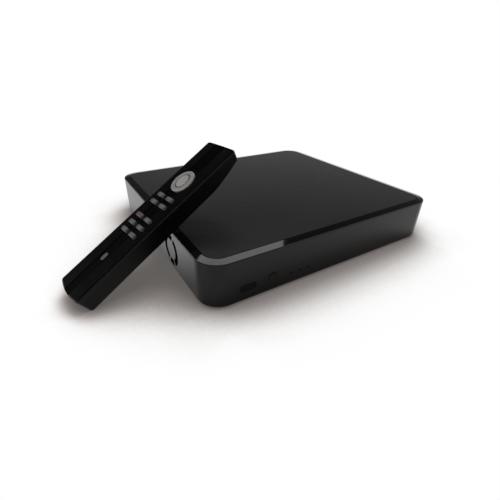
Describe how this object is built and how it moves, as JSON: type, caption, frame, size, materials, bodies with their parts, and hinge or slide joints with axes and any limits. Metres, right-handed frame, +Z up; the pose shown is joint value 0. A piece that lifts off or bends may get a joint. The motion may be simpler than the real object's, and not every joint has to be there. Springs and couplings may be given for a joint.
{
  "type": "media player with hard drive tray",
  "caption": "Low square media player with a bevelled top, a side-loading hard drive tray with an eject lever, and a bar-shaped remote control leaning on its edge.",
  "frame": {"origin": "on the surface that the player stands on, under the middle of its front left foot (101 mm left of and 88 mm in front of the case's middle)", "axes": "+Z up, front faces -Y, +X to the player's right as seen from the front, where the drive tray slides out"},
  "size_m": [0.3594, 0.2499, 0.1037],
  "materials": {
    "black_gloss": "polished",
    "black_trim": "polished",
    "black_satin": "fine satin texture",
    "black_pan": "matt",
    "rubber": "matt",
    "screw_steel": "satin",
    "dark_window": "dark translucent",
    "light_pipe": "frosted",
    "button": "satin",
    "board": "solder mask",
    "chip": "matt",
    "sheet_steel": "plated",
    "heat_sink": "extruded",
    "capacitor": "sleeved",
    "socket_black": "matt",
    "socket_metal": "plated",
    "drive_metal": "cast",
    "drive_cover": "satin",
    "pin_steel": "ground",
    "remote_grey": "satin",
    "remote_strip": "polished",
    "key_silver": "painted satin",
    "key_rubber": "matt",
    "cell": "sleeved",
    "contact": "plated"
  },
  "bodies": {
    "player": {"side_shell": "black_gloss", "bottom_pan": "black_pan", "trim_ring": "black_trim", "top_plate": "black_satin", "feet": "rubber", "case_screws": "screw_steel", "ir_window": "dark_window", "ir_receiver": "chip", "indicator_lights": "light_pipe", "power_switch": "chip", "front_board": "board", "fan_frame": "chip", "main_board": "board", "processor": "chip", "heat_sink": "heat_sink", "capacitors": "capacitor", "rear_panel": "sheet_steel", "dc_jack": "socket_black", "ethernet_socket": "socket_metal", "usb_ports": "socket_metal", "hdmi_socket": "socket_metal", "optical_socket": "socket_black", "av_jacks": "socket_black", "drive_cage": "sheet_steel", "backplane_board": "board", "sata_socket": "socket_black"},
    "power_button": {"power_button": "button"},
    "fan_rotor": {"fan_rotor": "chip"},
    "drive_tray": {"tray_sled": "sheet_steel", "tray_front": "black_gloss", "lever_pin": "pin_steel", "drive_casting": "drive_metal", "drive_lid": "drive_cover", "drive_board": "board", "drive_screws": "screw_steel"},
    "eject_lever": {"eject_lever": "button"},
    "remote": {"remote_top_shell": "remote_grey", "remote_bottom_shell": "remote_grey", "remote_face_strip": "remote_strip", "remote_lens": "dark_window", "remote_badge": "key_silver", "remote_key_mat": "key_rubber", "remote_board": "board", "remote_batteries": "cell", "remote_battery_contacts": "contact"},
    "remote_battery_door": {"remote_battery_door": "remote_grey"},
    "remote_nav_ring": {"remote_nav_ring": "key_silver"},
    "remote_ok_key": {"remote_ok_key": "key_silver"},
    "remote_key_01": {"remote_key_01": "key_silver"},
    "remote_key_02": {"remote_key_02": "key_silver"},
    "remote_key_03": {"remote_key_03": "key_silver"},
    "remote_key_04": {"remote_key_04": "key_silver"},
    "remote_key_05": {"remote_key_05": "key_silver"},
    "remote_key_06": {"remote_key_06": "key_silver"},
    "remote_key_07": {"remote_key_07": "key_silver"},
    "remote_key_08": {"remote_key_08": "key_silver"},
    "remote_key_09": {"remote_key_09": "key_silver"},
    "remote_key_10": {"remote_key_10": "key_silver"}
  },
  "joints": [
    {"name": "drive_tray_slide", "type": "slide", "parent": "player", "child": "drive_tray", "axis": [1, 0, 0], "range_m": [0, 0.16]},
    {"name": "eject_lever_hinge", "type": "hinge", "parent": "drive_tray", "child": "eject_lever", "pos_m": [0.2345, 0.0303, 0.02255], "axis": [0, 0, -1], "range_deg": [0, 75]},
    {"name": "power_button_press", "type": "slide", "parent": "player", "child": "power_button", "axis": [0, 1, 0], "range_m": [0, 0.0007], "stiffness_N_per_m": 500},
    {"name": "fan_spin", "type": "hinge", "parent": "player", "child": "fan_rotor", "pos_m": [-0.027, 0.0395, 0.0227], "axis": [-1, 0, 0], "continuous": true},
    {"name": "remote_lift_off", "type": "slide", "parent": "player", "child": "remote", "axis": [0, 0, 1], "range_m": [0, 0.06]},
    {"name": "remote_battery_door_lift", "type": "slide", "parent": "remote", "child": "remote_battery_door", "axis": [0.5063, 0.0766, -0.859], "range_m": [0, 0.005]},
    {"name": "remote_nav_ring_press", "type": "slide", "parent": "remote", "child": "remote_nav_ring", "axis": [0.5063, 0.0766, -0.859], "range_m": [0, 0.0007], "stiffness_N_per_m": 500},
    {"name": "remote_ok_key_press", "type": "slide", "parent": "remote", "child": "remote_ok_key", "axis": [0.5063, 0.0766, -0.859], "range_m": [0, 0.0007], "stiffness_N_per_m": 450},
    {"name": "remote_key_01_press", "type": "slide", "parent": "remote", "child": "remote_key_01", "axis": [0.5063, 0.0766, -0.859], "range_m": [0, 0.0007], "stiffness_N_per_m": 400},
    {"name": "remote_key_02_press", "type": "slide", "parent": "remote", "child": "remote_key_02", "axis": [0.5063, 0.0766, -0.859], "range_m": [0, 0.0007], "stiffness_N_per_m": 400},
    {"name": "remote_key_03_press", "type": "slide", "parent": "remote", "child": "remote_key_03", "axis": [0.5063, 0.0766, -0.859], "range_m": [0, 0.0007], "stiffness_N_per_m": 400},
    {"name": "remote_key_04_press", "type": "slide", "parent": "remote", "child": "remote_key_04", "axis": [0.5063, 0.0766, -0.859], "range_m": [0, 0.0007], "stiffness_N_per_m": 400},
    {"name": "remote_key_05_press", "type": "slide", "parent": "remote", "child": "remote_key_05", "axis": [0.5063, 0.0766, -0.859], "range_m": [0, 0.0007], "stiffness_N_per_m": 400},
    {"name": "remote_key_06_press", "type": "slide", "parent": "remote", "child": "remote_key_06", "axis": [0.5063, 0.0766, -0.859], "range_m": [0, 0.0007], "stiffness_N_per_m": 400},
    {"name": "remote_key_07_press", "type": "slide", "parent": "remote", "child": "remote_key_07", "axis": [0.5063, 0.0766, -0.859], "range_m": [0, 0.0007], "stiffness_N_per_m": 400},
    {"name": "remote_key_08_press", "type": "slide", "parent": "remote", "child": "remote_key_08", "axis": [0.5063, 0.0766, -0.859], "range_m": [0, 0.0007], "stiffness_N_per_m": 400},
    {"name": "remote_key_09_press", "type": "slide", "parent": "remote", "child": "remote_key_09", "axis": [0.5063, 0.0766, -0.859], "range_m": [0, 0.0007], "stiffness_N_per_m": 400},
    {"name": "remote_key_10_press", "type": "slide", "parent": "remote", "child": "remote_key_10", "axis": [0.5063, 0.0766, -0.859], "range_m": [0, 0.0007], "stiffness_N_per_m": 400}
  ]
}
